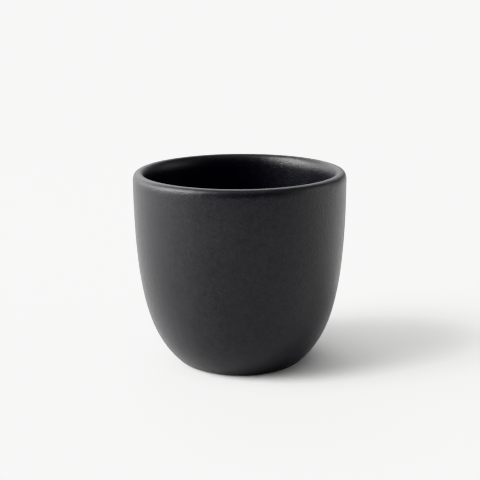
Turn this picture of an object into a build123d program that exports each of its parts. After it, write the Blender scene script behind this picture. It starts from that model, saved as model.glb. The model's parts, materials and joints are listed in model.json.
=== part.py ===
from build123d import *
import os

# Empty candle jar: a round stoneware vessel with a rounded lip, a wall that is nearly
# straight in its upper half and turns in to a small foot ring, and a satin black glaze.
# Millimetres, +Z up. The origin is the centre of the foot ring, on the surface that the
# jar stands on, and every outline below is turned about +Z. An outline's points are
# (radius, height), and it runs with the clay on its left and the air on its right.
#
# The jar is one fired piece, so its nodes are the layers that it is made of:
#   stoneware_body  the fired clay, bare only on the foot ring
#   glaze_coat      one coat from the glaze line above the foot, up the outside, over the
#                   lip and down inside to the middle of the floor
#   base_glaze      the same glaze in the recess under the base, cut off from the coat by
#                   the foot ring, which is wiped clean before firing

# Driving dimensions of the finished, glazed jar
DIAMETER = 84.0
HEIGHT = 76.4
WALL = 5.2  # thickness of the wall under the lip
LIP_BOTTOM = 72.4  # the lip's outer side eases down to here
FLOOR_HEIGHT = 6.0  # inside floor, where a wick's base stands
MOUTH_TOP = 70.8  # the lip's inner side eases down to here
MOUTH_STRAIGHT = 11.0  # straight inner wall below that, where a lid's plug fits
GLAZE = 0.35  # thickness of the glaze
GLAZE_EDGE = 0.2  # rounding of the glaze where it stops on bare clay

# Clay sizes that follow from them
CLAY_RADIUS = DIAMETER / 2 - GLAZE
CLAY_LIP = WALL / 2 - GLAZE  # from the lip's top to its sides
CLAY_MOUTH = CLAY_RADIUS - 2 * CLAY_LIP
CLAY_FLOOR = FLOOR_HEIGHT - GLAZE
CLAY_TOP = HEIGHT - GLAZE
MOUTH_BOTTOM = MOUTH_TOP - MOUTH_STRAIGHT

# Foot ring, in the clay
FOOT_EDGE = (24.75, 0)  # where the bevel meets the ground, before rounding
GLAZE_LINE = (25.5, 0.7)  # top of the bare bevel, where the coat starts
RECESS_EDGE = (20.6, 0)  # inner edge of the ring on the ground, before rounding
RECESS_CORNER = (19.4, 1.7)  # top of the recess, before rounding
RECESS_GLAZE_END = (20.2, 0.566667)  # on the slope from RECESS_CORNER to RECESS_EDGE
GROUND_ROUNDING = 0.4
CORNER_ROUNDING = 0.9

# Control points of the clay's curves: the outer wall from the glaze line up to the lip,
# the lip's outer side up to its top and its inner side down to the straight mouth, and
# the inner wall from there down to the flat floor
HEEL = (27.3, 2.4)
BELLY = (35.9, 10.8)
WAIST = (CLAY_RADIUS, 21.9)
OUTER_WALL = [GLAZE_LINE, HEEL, BELLY, WAIST, (CLAY_RADIUS, LIP_BOTTOM)]
LIP_TOP = (CLAY_RADIUS - CLAY_LIP, CLAY_TOP)
OUTER_LIP = [(CLAY_RADIUS, LIP_BOTTOM), (CLAY_RADIUS, 75.0), (41.1, CLAY_TOP), LIP_TOP]
INNER_LIP = [LIP_TOP, (38.2, CLAY_TOP), (CLAY_MOUTH, 74.0), (CLAY_MOUTH, MOUTH_TOP)]
INNER_WAIST = (CLAY_MOUTH, 34.5)
INNER_HEEL = (32.5, CLAY_FLOOR)
FLOOR_EDGE = (16.0, CLAY_FLOOR)
INNER_WALL = [(CLAY_MOUTH, MOUTH_BOTTOM), INNER_WAIST, INNER_HEEL, FLOOR_EDGE]


def moved_out(points, distance):
    """The corners of an open polygon after each side has moved out into the air."""
    corners = [Vector(*point) for point in points]
    sides = [(b - a).normalized() for a, b in zip(corners, corners[1:])]
    normals = [Vector(side.Y, -side.X) for side in sides]
    before, after = [normals[0], *normals], [*normals, normals[-1]]
    return [
        corner + (n + m) * (distance / (1 + n.dot(m)))
        for corner, n, m in zip(corners, before, after)
    ]


def coated_outline(skin):
    """Up the outer wall, over the lip, down the inner wall and in to the axis, at a
    distance outside the clay."""
    curves = [moved_out(curve, skin) for curve in (OUTER_WALL, OUTER_LIP, INNER_LIP, INNER_WALL)]
    outer, outer_lip, inner_lip, inner = curves
    return [
        Bezier(*outer),
        Bezier(*outer_lip),
        Bezier(*inner_lip),
        Line(inner_lip[-1], inner[0]),
        Bezier(*inner),
        Line(inner[-1], (0, CLAY_FLOOR + skin)),
    ]


def turned(outline):
    """The solid that a closed outline sweeps about +Z."""
    return revolve(Plane.XZ * make_face(outline), Axis.Z)


def stoneware_body():
    foot = FilletPolyline(
        (0, RECESS_CORNER[1]),
        RECESS_CORNER,
        RECESS_EDGE,
        FOOT_EDGE,
        GLAZE_LINE,
        radius=(CORNER_ROUNDING, GROUND_ROUNDING, GROUND_ROUNDING),
    )
    axis = Line((0, CLAY_FLOOR), (0, RECESS_CORNER[1]))
    return turned([*coated_outline(0), axis, *foot.edges()])


def glaze_coat():
    edge = Line(GLAZE_LINE, moved_out(OUTER_WALL, GLAZE)[0])
    axis = Line((0, CLAY_FLOOR), (0, FLOOR_HEIGHT))
    coat = turned([*coated_outline(0), *coated_outline(GLAZE), edge, axis])
    lowest = coat.edges().filter_by(GeomType.CIRCLE).sort_by(Axis.Z)[0]
    return fillet(lowest, GLAZE_EDGE)


def base_glaze():
    clay = [(0, RECESS_CORNER[1]), RECESS_CORNER, RECESS_GLAZE_END]
    corners = [*clay, *reversed(moved_out(clay, GLAZE))]
    rounding = (0, CORNER_ROUNDING, 0, GLAZE_EDGE, CORNER_ROUNDING - GLAZE, 0)
    return turned(FilletPolyline(*corners, radius=rounding, close=True).edges())


def main():
    os.makedirs("parts", exist_ok=True)
    for piece in (stoneware_body, glaze_coat, base_glaze):
        export_step(piece(), f"parts/{piece.__name__}.step")


main()
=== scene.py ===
import json
import math

import bpy
from mathutils import Matrix, Vector, noise


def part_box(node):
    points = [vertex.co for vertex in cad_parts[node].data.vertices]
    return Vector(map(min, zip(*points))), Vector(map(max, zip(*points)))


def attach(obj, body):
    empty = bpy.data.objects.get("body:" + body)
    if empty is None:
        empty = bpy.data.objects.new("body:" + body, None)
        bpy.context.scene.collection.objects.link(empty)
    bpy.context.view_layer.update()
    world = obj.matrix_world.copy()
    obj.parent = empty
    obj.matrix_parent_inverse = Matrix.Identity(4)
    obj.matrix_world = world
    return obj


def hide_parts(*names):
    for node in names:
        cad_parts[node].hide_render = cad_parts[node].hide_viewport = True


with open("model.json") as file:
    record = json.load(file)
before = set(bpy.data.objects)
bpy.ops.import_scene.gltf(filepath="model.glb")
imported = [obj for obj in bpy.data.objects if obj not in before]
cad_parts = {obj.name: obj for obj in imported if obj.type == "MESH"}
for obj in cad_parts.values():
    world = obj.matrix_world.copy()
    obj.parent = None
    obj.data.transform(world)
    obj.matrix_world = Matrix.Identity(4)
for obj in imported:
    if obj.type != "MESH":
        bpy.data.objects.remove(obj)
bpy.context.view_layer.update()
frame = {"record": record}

# An empty candle jar: a stoneware vessel turned about +Z, with a satin black glaze.
# Metres, in the CAD's frame. Every piece is turned from an outline of (radius, height)
# points, which starts and ends on the axis and has the air on its right.
MM = 0.001

# ---------------------------------------------------------------- sizes from the frame
mounts = {mount["name"]: mount for mount in frame["record"]["mounts"]}
coat_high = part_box("glaze_coat")[1]
clay_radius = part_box("stoneware_body")[1].x
recess_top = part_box("base_glaze")[1].z
mouth_length = mounts["mouth"]["dims"]["length_mm"] * MM
mouth_middle = mounts["mouth"]["pos_m"][2]
mouth_top = mouth_middle + mouth_length / 2
mouth_bottom = mouth_middle - mouth_length / 2
glaze = coat_high.x - clay_radius
clay_mouth = mounts["mouth"]["dims"]["r_mm"] * MM + glaze
clay_lip = (clay_radius - clay_mouth) / 2
clay_floor = mounts["wick_seat"]["pos_m"][2] - glaze
clay_top = coat_high.z - glaze

# Control points of the clay's curved walls and lip, and corners of its foot, as the CAD
# has them: (radius, height)
LIP_BOTTOM = 72.4 * MM  # where the lip's outer side starts to ease in
GLAZE_LINE = Vector((25.5, 0.7)) * MM
OUTER_WALL = [
    GLAZE_LINE,
    Vector((27.3, 2.4)) * MM,
    Vector((35.9, 10.8)) * MM,
    Vector((clay_radius, 21.9 * MM)),
    Vector((clay_radius, LIP_BOTTOM)),
]
OUTER_LIP = [
    Vector((clay_radius, LIP_BOTTOM)),
    Vector((clay_radius, 75.0 * MM)),
    Vector((41.1 * MM, clay_top)),
    Vector((clay_radius - clay_lip, clay_top)),
]
INNER_LIP = [
    Vector((clay_radius - clay_lip, clay_top)),
    Vector((38.2 * MM, clay_top)),
    Vector((clay_mouth, 74.0 * MM)),
    Vector((clay_mouth, mouth_top)),
]
INNER_WALL = [
    Vector((clay_mouth, mouth_bottom)),
    Vector((clay_mouth, 34.5 * MM)),
    Vector((32.5 * MM, clay_floor)),
    Vector((16.0 * MM, clay_floor)),
]
FOOT_OUTER = Vector((24.75, 0)) * MM
FOOT_INNER = Vector((20.6, 0)) * MM
RECESS_CORNER = Vector((19.4 * MM, recess_top))
RECESS_GLAZE_END = RECESS_CORNER.lerp(FOOT_INNER, 2 / 3)
GROUND_ROUNDING = 0.4 * MM
CORNER_ROUNDING = 0.9 * MM

# Spacing of the rings along an outline, and number of points around the axis
DENSE = 0.05 * MM  # outlines are first drawn at this spacing, then thinned
FINE = 0.15 * MM  # bare clay, and where the glaze ends
CLOSE = 0.35 * MM  # over the lip
LIP_HIDDEN = 0.7 * MM  # the clay under that
WIDE = 1.1 * MM  # glazed walls
HIDDEN = 3.0 * MM  # faces between the clay and its glaze
AROUND = 360
FOOT_HEIGHT = 3 * MM  # the foot and the coat's edge are below this
CORNER_REACH = 2 * MM  # the recess's rounded corner starts this far inside its corner point
BARE_REACH = 1 * MM  # and the bare clay's relief starts this far inside it

GLAZE_EDGE = 0.4 * MM  # the glaze rises to its full thickness over this
EDGE_WANDER = 0.22 * MM  # how far the edge of the glaze strays from its line
EDGE_REACH = 2.5 * MM  # how far up the wall that straying is felt
EDGE_WAVES = [  # share of the straying, how fast it changes round the jar, seed
    (0.75, 2.2, Vector((4.0, 1.0, 0.5))),
    (0.25, 11.0, Vector((0.3, 8.0, 2.5))),
]
GLAZE_WAVES = [(0.04, 21, 3.1), (0.014, 6, 7.7), (0.012, 2.1, 1.3)]  # mm deep, mm long, seed
RING_WIDTH = 0.11 * MM  # rings that turning leaves on the clay, per radian of their wave
RING_DRIFT = 3  # radians by which they wander
RING_DRIFT_LENGTH = 25 * MM
RING_DEPTH = 0.014 * MM
GRIT_LENGTH = 0.6 * MM
GRIT_DEPTH = 0.05 * MM


# ---------------------------------------------------------------- outlines
def straight(start, end):
    count = math.ceil((end - start).length / DENSE)
    return [start.lerp(end, k / count) for k in range(count + 1)]


def arc(centre, radius, start, end):
    """An arc from one angle to another, in radians."""
    count = math.ceil(radius * abs(end - start) / DENSE)
    angles = [start + (end - start) * k / count for k in range(count + 1)]
    return [centre + radius * Vector((math.cos(a), math.sin(a))) for a in angles]


def bezier(controls):
    """A Bezier curve, by de Casteljau's construction."""
    count = math.ceil(sum((b - a).length for a, b in zip(controls, controls[1:])) / DENSE)
    places = []
    for k in range(count + 1):
        corners = controls
        while len(corners) > 1:
            corners = [a.lerp(b, k / count) for a, b in zip(corners, corners[1:])]
        places.append(corners[0])
    return places


def rounded(corners, radii):
    """A line through the corners, each inner one rounded to its radius."""
    points = [corners[0]]
    for before, corner, after, radius in zip(corners, corners[1:], corners[2:], radii):
        back = (before - corner).normalized()
        ahead = (after - corner).normalized()
        half = back.angle(ahead) / 2
        centre = corner + (back + ahead).normalized() * (radius / math.sin(half))
        first = corner + back * (radius / math.tan(half))
        last = corner + ahead * (radius / math.tan(half))
        start = math.atan2(*reversed(first - centre))
        turn = math.remainder(math.atan2(*reversed(last - centre)) - start, math.tau)
        points += straight(points[-1], first) + arc(centre, radius, start, start + turn)
    return points + straight(points[-1], corners[-1])


def outline(*stretches):
    """One outline from stretches that meet: (place, direction, distance along it) each."""
    places = []
    for place in (place for stretch in stretches for place in stretch):
        if not places or (place - places[-1]).length > 0.01 * DENSE:
            places.append(place)
    steps, distance = [], 0.0
    for k, place in enumerate(places):
        before, after = places[max(k - 1, 0)], places[min(k + 1, len(places) - 1)]
        distance += (place - before).length
        steps.append((place, (after - before).normalized(), distance))
    return steps


def airward(direction):
    """The side of an outline that the air is on."""
    return Vector((direction.y, -direction.x))


def thinned(steps, spacing):
    """The steps that are at least the spacing at their place apart, and both ends."""
    kept = [steps[0]]
    for step in steps[1:-1]:
        gap = spacing(step[0])
        if step[2] - kept[-1][2] >= gap and steps[-1][2] - step[2] >= gap / 2:
            kept.append(step)
    return [*kept, steps[-1]]


def glazed_clay():
    """The clay under the coat: up the outside, over the lip and in to the middle."""
    return outline(
        bezier(OUTER_WALL),
        bezier(OUTER_LIP),
        bezier(INNER_LIP),
        straight(INNER_LIP[-1], INNER_WALL[0]),
        bezier(INNER_WALL),
        straight(INNER_WALL[-1], Vector((0, clay_floor))),
    )


def recess_clay():
    """The clay under the recess's glaze, from the middle out to the glaze's edge."""
    corners = [Vector((0, recess_top)), RECESS_CORNER, RECESS_GLAZE_END]
    return outline(rounded(corners, [CORNER_ROUNDING]))


def bare_clay():
    """The foot, from the middle of the recess out to the glaze line."""
    corners = [Vector((0, recess_top)), RECESS_CORNER, FOOT_INNER, FOOT_OUTER, GLAZE_LINE]
    return outline(rounded(corners, [CORNER_ROUNDING, GROUND_ROUNDING, GROUND_ROUNDING]))


# ---------------------------------------------------------------- surface relief
def level(place, wavelength, seed):
    """Smooth noise from 0 to 1 that changes over about a wavelength."""
    return 0.5 + 0.5 * noise.noise(place / wavelength + Vector((seed, seed, seed)))


def glaze_relief(place):
    """How far the fired glaze lies under its nominal surface: slow waves, then its skin."""
    return MM * sum(depth * level(place, length * MM, seed) for depth, length, seed in GLAZE_WAVES)


def clay_relief(place):
    """How far bare clay lies under its nominal surface: rings left by turning, and grit."""
    drift = RING_DRIFT * level(place, RING_DRIFT_LENGTH, 5.0)
    rings = 0.5 + 0.5 * math.sin(math.hypot(place.x, place.y) / RING_WIDTH + drift)
    grit = level(place, GRIT_LENGTH, 2.2) ** 2
    return RING_DEPTH * rings + GRIT_DEPTH * grit


def edge_wander(angle):
    """How far up its wall the edge of the glaze strays, at an angle about the axis."""
    around = Vector((math.cos(angle), math.sin(angle), 0))
    waves = (share * noise.noise(around * rate + seed) for share, rate, seed in EDGE_WAVES)
    return EDGE_WANDER * sum(waves)


# ---------------------------------------------------------------- turned pieces
def turned(name, rings, relief):
    """A closed mesh that rides on the jar's body. Each ring is (place, direction, share,
    slide): its share of the relief, and of the edge's wander along the outline."""
    vertices, starts = [], []
    for place, direction, share, slide in rings:
        starts.append(len(vertices))
        if place.x < DENSE:
            vertices.append((0, 0, place.y))
            continue
        for k in range(AROUND):
            angle = math.tau * k / AROUND
            spot = place + direction * (slide * edge_wander(angle)) if slide else place
            around = Vector((math.cos(angle), math.sin(angle), 0))
            if share:
                depth = relief(around * spot.x + Vector((0, 0, spot.y))) * share
                spot = spot - airward(direction) * depth
            vertices.append(around * spot.x + Vector((0, 0, spot.y)))
    faces = []
    for lower, upper in zip(range(len(rings)), range(1, len(rings))):
        a, b = starts[lower], starts[upper]
        for k in range(AROUND):
            n = (k + 1) % AROUND
            if rings[lower][0].x < DENSE:
                faces.append((a, b + n, b + k))
            elif rings[upper][0].x < DENSE:
                faces.append((a + k, a + n, b))
            else:
                faces.append((a + k, a + n, b + n, b + k))
    mesh = bpy.data.meshes.new(name)
    mesh.from_pydata(vertices, [], faces)
    mesh.polygons.foreach_set("use_smooth", [True] * len(mesh.polygons))
    mesh.update()
    piece = bpy.data.objects.new(name, mesh)
    bpy.context.scene.collection.objects.link(piece)
    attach(piece, "root")
    return piece


def edge_share(distance):
    """1 at the edge of a glaze, falling to 0 where the edge's wander is no longer felt."""
    share = min(distance / EDGE_REACH, 1)
    return 1 - share * share * (3 - 2 * share)


def glaze_depth(distance):
    """The glaze's thickness: a rounded edge, then the full coat."""
    share = 1 - min(distance / GLAZE_EDGE, 1)
    return glaze * math.sqrt(1 - share * share)


def coat_spacing(place):
    if place.y < FOOT_HEIGHT and place.x > FOOT_INNER.x:
        return FINE
    return CLOSE if place.y > mouth_top else WIDE


def hidden_spacing(place):
    if place.y < FOOT_HEIGHT:
        return CLOSE
    return LIP_HIDDEN if place.y > mouth_top else HIDDEN


def recess_spacing(place):
    return FINE if place.x > RECESS_CORNER.x - CORNER_REACH else WIDE


def glaze_skin(clay, spacing, edge_at):
    """The closed outline of a coat on this clay, from the axis round to the axis. Its edge
    is at this distance along the clay, at the clay's start or at its end."""
    back = [
        (place, direction, 0, edge_share(abs(distance - edge_at)))
        for place, direction, distance in thinned(clay, hidden_spacing)
    ]
    front = [
        (
            place + airward(direction) * glaze_depth(abs(distance - edge_at)),
            direction,
            1,
            edge_share(abs(distance - edge_at)),
        )
        for place, direction, distance in thinned(clay, spacing)
    ]
    if edge_at > 0:
        return [*front, *reversed(back[:-1])]
    return [*reversed(back), *front[1:]]


def make_glaze_coat():
    skin = glaze_skin(glazed_clay(), coat_spacing, 0)
    piece = turned("satin_glaze_coat", skin, glaze_relief)
    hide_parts("glaze_coat")
    return piece


def make_base_glaze():
    clay = recess_clay()
    skin = glaze_skin(clay, recess_spacing, clay[-1][2])
    piece = turned("recess_glaze", skin, glaze_relief)
    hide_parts("base_glaze")
    return piece


def make_clay():
    """The body. It has its relief only where it shows, and a little way under the glaze."""
    bare = [
        (place, direction, 1 if place.x > RECESS_CORNER.x - BARE_REACH else 0, 0)
        for place, direction, _ in thinned(bare_clay(), recess_spacing)
    ]
    covered = [
        (place, direction, 1 - min(distance / EDGE_REACH, 1), 0)
        for place, direction, distance in thinned(glazed_clay(), hidden_spacing)
    ]
    piece = turned("stoneware_clay", [*bare, *covered[1:]], clay_relief)
    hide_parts("stoneware_body")
    return piece


# ---------------------------------------------------------------- materials
SPECK = 0.55 * MM  # lengths of the glaze's mottle, from fine to slow
MOTTLE = 2.4 * MM
CLOUD = 15 * MM
GLAZE_DARK = (0.004, 0.004, 0.0055)
GLAZE_PALE = (0.021, 0.021, 0.0240)
SATIN = (0.42, 0.60)  # range of the glaze's roughness
SKIN_HEIGHT = 0.15 * MM  # of the bumps in it
CRYSTAL_CELL = 3 * MM  # at most one pale crystal in each
CRYSTAL_SIZE = (0.02, 0.07)  # its core and its edge, in cells
CRYSTAL_CHOICE = (0.62, 0.66)  # a cell has one where its random colour is above this
CRYSTAL_COLOUR = (0.045, 0.045, 0.047)
GRIT = 0.35 * MM  # lengths of the clay's grit and patches
PATCH = 4 * MM
GRIT_CHOICE = (0.36, 0.44)  # it is dark where its noise is below this
CLAY_DARK = (0.28, 0.245, 0.21)
CLAY_PALE = (0.38, 0.34, 0.30)
GRIT_COLOUR = (0.14, 0.115, 0.095)
CLAY_ROUGHNESS = (0.82, 0.96)
PAPER = (0.80, 0.80, 0.795)
MIDDLE = (0.3, 0.7)  # where most of a noise's values lie


def add(tree, kind, links=(), **settings):
    """A node. Each link is (input's name or number, a socket or a value)."""
    node = tree.nodes.new(kind)
    for key, value in settings.items():
        setattr(node, key, value)
    for name, value in links:
        if isinstance(value, bpy.types.NodeSocket):
            tree.links.new(value, node.inputs[name])
        else:
            node.inputs[name].default_value = value
    return node


def grain(tree, place, wavelength, detail=2.0, roughness=0.5):
    """Noise from 0 to 1 that changes over about a wavelength."""
    links = [("Vector", place), ("Scale", 1 / wavelength)]
    links += [("Detail", detail), ("Roughness", roughness)]
    return add(tree, "ShaderNodeTexNoise", links).outputs[0]


def weighted(tree, parts):
    """The sum of (socket, weight) parts."""
    total = 0.0
    for socket, weight in parts:
        links = [(0, socket), (1, weight), (2, total)]
        total = add(tree, "ShaderNodeMath", links, operation="MULTIPLY_ADD").outputs[0]
    return total


def spread(tree, value, low, high, to_low, to_high):
    """The value moved from one range to another, and kept inside it."""
    links = [("Value", value), ("From Min", low), ("From Max", high)]
    links += [("To Min", to_low), ("To Max", to_high)]
    return add(tree, "ShaderNodeMapRange", links).outputs[0]


def blended(tree, share, low_colour, high_colour):
    """A colour between two, each a colour or a socket."""
    node = add(tree, "ShaderNodeMix", [(0, share)], data_type="RGBA")
    for slot, colour in ((6, low_colour), (7, high_colour)):
        if isinstance(colour, bpy.types.NodeSocket):
            tree.links.new(colour, node.inputs[slot])
        else:
            node.inputs[slot].default_value = (*colour, 1)
    return node.outputs[2]


def bumped(tree, height, distance, strength, normal=None):
    """A normal with bumps of this height, on top of another's if there is one."""
    links = [("Height", height), ("Distance", distance), ("Strength", strength)]
    if normal:
        links.append(("Normal", normal))
    return add(tree, "ShaderNodeBump", links).outputs[0]


def new_material(name):
    """A material, its node tree, the place on the surface, and its shader."""
    material = bpy.data.materials.new(name)
    material.use_nodes = True
    tree = material.node_tree
    place = add(tree, "ShaderNodeTexCoord").outputs["Object"]
    return material, tree, place, tree.nodes["Principled BSDF"]


def black_glaze():
    """Satin black: a fine mottle in tone and gloss over slow clouds, a soft skin, and a
    rare pale crystal."""
    material, tree, place, surface = new_material("satin_black_glaze")
    speck = grain(tree, place, SPECK, 2.0, 0.6)
    mottle = grain(tree, place, MOTTLE, 3.0, 0.6)
    cloud = grain(tree, place, CLOUD)
    mix = weighted(tree, [(speck, 0.5), (mottle, 0.3), (cloud, 0.2)])
    gloss = spread(tree, mix, *MIDDLE, *SATIN)
    colour = blended(tree, spread(tree, mix, *MIDDLE, 0, 1), GLAZE_DARK, GLAZE_PALE)
    cells = add(tree, "ShaderNodeTexVoronoi", [("Vector", place), ("Scale", 1 / CRYSTAL_CELL)])
    near = spread(tree, cells.outputs["Distance"], *CRYSTAL_SIZE, 1, 0)
    chosen = spread(tree, cells.outputs["Color"], *CRYSTAL_CHOICE, 0, 1)
    links = [(0, near), (1, chosen)]
    crystal = add(tree, "ShaderNodeMath", links, operation="MULTIPLY").outputs[0]
    colour = blended(tree, crystal, colour, CRYSTAL_COLOUR)
    skin = bumped(tree, mottle, SKIN_HEIGHT, 0.5)
    skin = bumped(tree, speck, SKIN_HEIGHT, 0.8, skin)
    tree.links.new(colour, surface.inputs["Base Color"])
    tree.links.new(gloss, surface.inputs["Roughness"])
    tree.links.new(skin, surface.inputs["Normal"])
    tree.links.new(skin, surface.inputs["Coat Normal"])
    surface.inputs["Specular IOR Level"].default_value = 0.26
    surface.inputs["Coat Weight"].default_value = 0.46
    surface.inputs["Coat Roughness"].default_value = 0.24
    return material


def bare_stoneware():
    """Fired clay, wiped clean: warm grey-brown with darker and paler grit."""
    material, tree, place, surface = new_material("bare_stoneware")
    grit = grain(tree, place, GRIT, 4.0, 0.7)
    patch = grain(tree, place, PATCH, 3.0)
    body = blended(tree, patch, CLAY_DARK, CLAY_PALE)
    dark = spread(tree, grit, *GRIT_CHOICE, 1, 0)
    rough = spread(tree, grit, *MIDDLE, *CLAY_ROUGHNESS)
    skin = bumped(tree, grit, 0.05 * MM, 0.7)
    tree.links.new(blended(tree, dark, body, GRIT_COLOUR), surface.inputs["Base Color"])
    tree.links.new(rough, surface.inputs["Roughness"])
    tree.links.new(skin, surface.inputs["Normal"])
    return material


# ---------------------------------------------------------------- stage
FLOOR_REACH = 30  # metres each way, so that its far edge looks like a horizon


def make_floor():
    """Plain pale paper."""
    mesh = bpy.data.meshes.new("floor")
    ends = [(-1, -1), (1, -1), (1, 1), (-1, 1)]
    mesh.from_pydata([(x * FLOOR_REACH, y * FLOOR_REACH, 0) for x, y in ends], [], [(0, 1, 2, 3)])
    floor = bpy.data.objects.new("floor", mesh)
    bpy.context.scene.collection.objects.link(floor)
    material, _, _, surface = new_material("floor_paper")
    surface.inputs["Base Color"].default_value = (*PAPER, 1)
    surface.inputs["Roughness"].default_value = 0.95
    surface.inputs["Specular IOR Level"].default_value = 0.1
    mesh.materials.append(material)


# Soft lights far away: azimuth and elevation in degrees, sharpness, strength. A light's
# strength falls off from its middle as a bell curve, narrower where it is sharper.
GLOWS = [
    (-88, 20, 40, 12.0),  # the window on the left: the lower half's two parts, and the
    (-66, 24, 40, 10.5),  # upper half
    (-72, 42, 45, 18.0),
    (-118, 8, 14, 3.6),  # the pale wall round the window
    (-150, 28, 14, 1.8),
    (180, 35, 8, 2.2),  # the wall behind
    (90, 8, 8, 2.25),  # the wall on the right
    (15, 68, 12, 1.6),  # the ceiling
]


def bearing(azimuth, elevation):
    """A direction: azimuth 0 is the camera's side and 90 is +X, in degrees."""
    a, e = math.radians(azimuth), math.radians(elevation)
    return (math.sin(a) * math.cos(e), -math.cos(a) * math.cos(e), math.sin(e))


def make_surroundings():
    """A white studio: a broad soft window on the left, pale behind, dim at the camera."""
    world = bpy.data.worlds.new("studio")
    bpy.context.scene.world = world
    world.use_nodes = True
    tree = world.node_tree
    way = add(tree, "ShaderNodeTexCoord").outputs["Generated"]
    total = 0.0
    for azimuth, elevation, sharpness, strength in GLOWS:
        links = [(0, way), (1, bearing(azimuth, elevation))]
        facing = add(tree, "ShaderNodeVectorMath", links, operation="DOT_PRODUCT")
        links = [(0, facing.outputs["Value"]), (1, sharpness), (2, -sharpness)]
        power = add(tree, "ShaderNodeMath", links, operation="MULTIPLY_ADD").outputs[0]
        links = [(0, math.e), (1, power)]
        bell = add(tree, "ShaderNodeMath", links, operation="POWER").outputs[0]
        links = [(0, bell), (1, strength), (2, total)]
        total = add(tree, "ShaderNodeMath", links, operation="MULTIPLY_ADD").outputs[0]
    tree.links.new(total, tree.nodes["Background"].inputs["Strength"])
    tree.nodes["Background"].inputs["Color"].default_value = (1.0, 1.0, 1.0, 1)


PANEL_PLACE = Vector((-0.55, 0.05, 0.25))
PANEL_SIZE = (0.5, 0.3)
PANEL_WATTS = 0.45


def make_side_light():
    """A dim panel near the jar on the left, facing it."""
    light = bpy.data.lights.new("side_panel", "AREA")
    light.shape = "RECTANGLE"
    light.size, light.size_y = PANEL_SIZE
    light.energy = PANEL_WATTS
    item = bpy.data.objects.new("side_panel", light)
    bpy.context.scene.collection.objects.link(item)
    turn = (-PANEL_PLACE).to_track_quat("-Z", "Y").to_matrix().to_4x4()
    item.matrix_world = Matrix.Translation(PANEL_PLACE) @ turn
    item.visible_camera = False


CAMERA_PLACE = Vector((0, -0.3875, 0.1457))
CAMERA_DOWN = 14.16  # degrees below the level
CAMERA_ROLL = -0.34


def make_camera():
    camera = bpy.data.cameras.new("camera")
    camera.lens = 75
    camera.sensor_width = 36
    camera.clip_start = 0.01
    camera.clip_end = 100
    item = bpy.data.objects.new("camera", camera)
    bpy.context.scene.collection.objects.link(item)
    item.matrix_world = (
        Matrix.Translation(CAMERA_PLACE)
        @ Matrix.Rotation(math.radians(90 - CAMERA_DOWN), 4, "X")
        @ Matrix.Rotation(math.radians(CAMERA_ROLL), 4, "Z")
    )
    bpy.context.scene.camera = item


make_camera()
glaze_material = black_glaze()
make_glaze_coat().data.materials.append(glaze_material)
make_base_glaze().data.materials.append(glaze_material)
make_clay().data.materials.append(bare_stoneware())
make_floor()
make_surroundings()
make_side_light()
# compresses the whites and deepens the blacks, as a product photograph does
bpy.context.scene.view_settings.view_transform = "Khronos PBR Neutral"
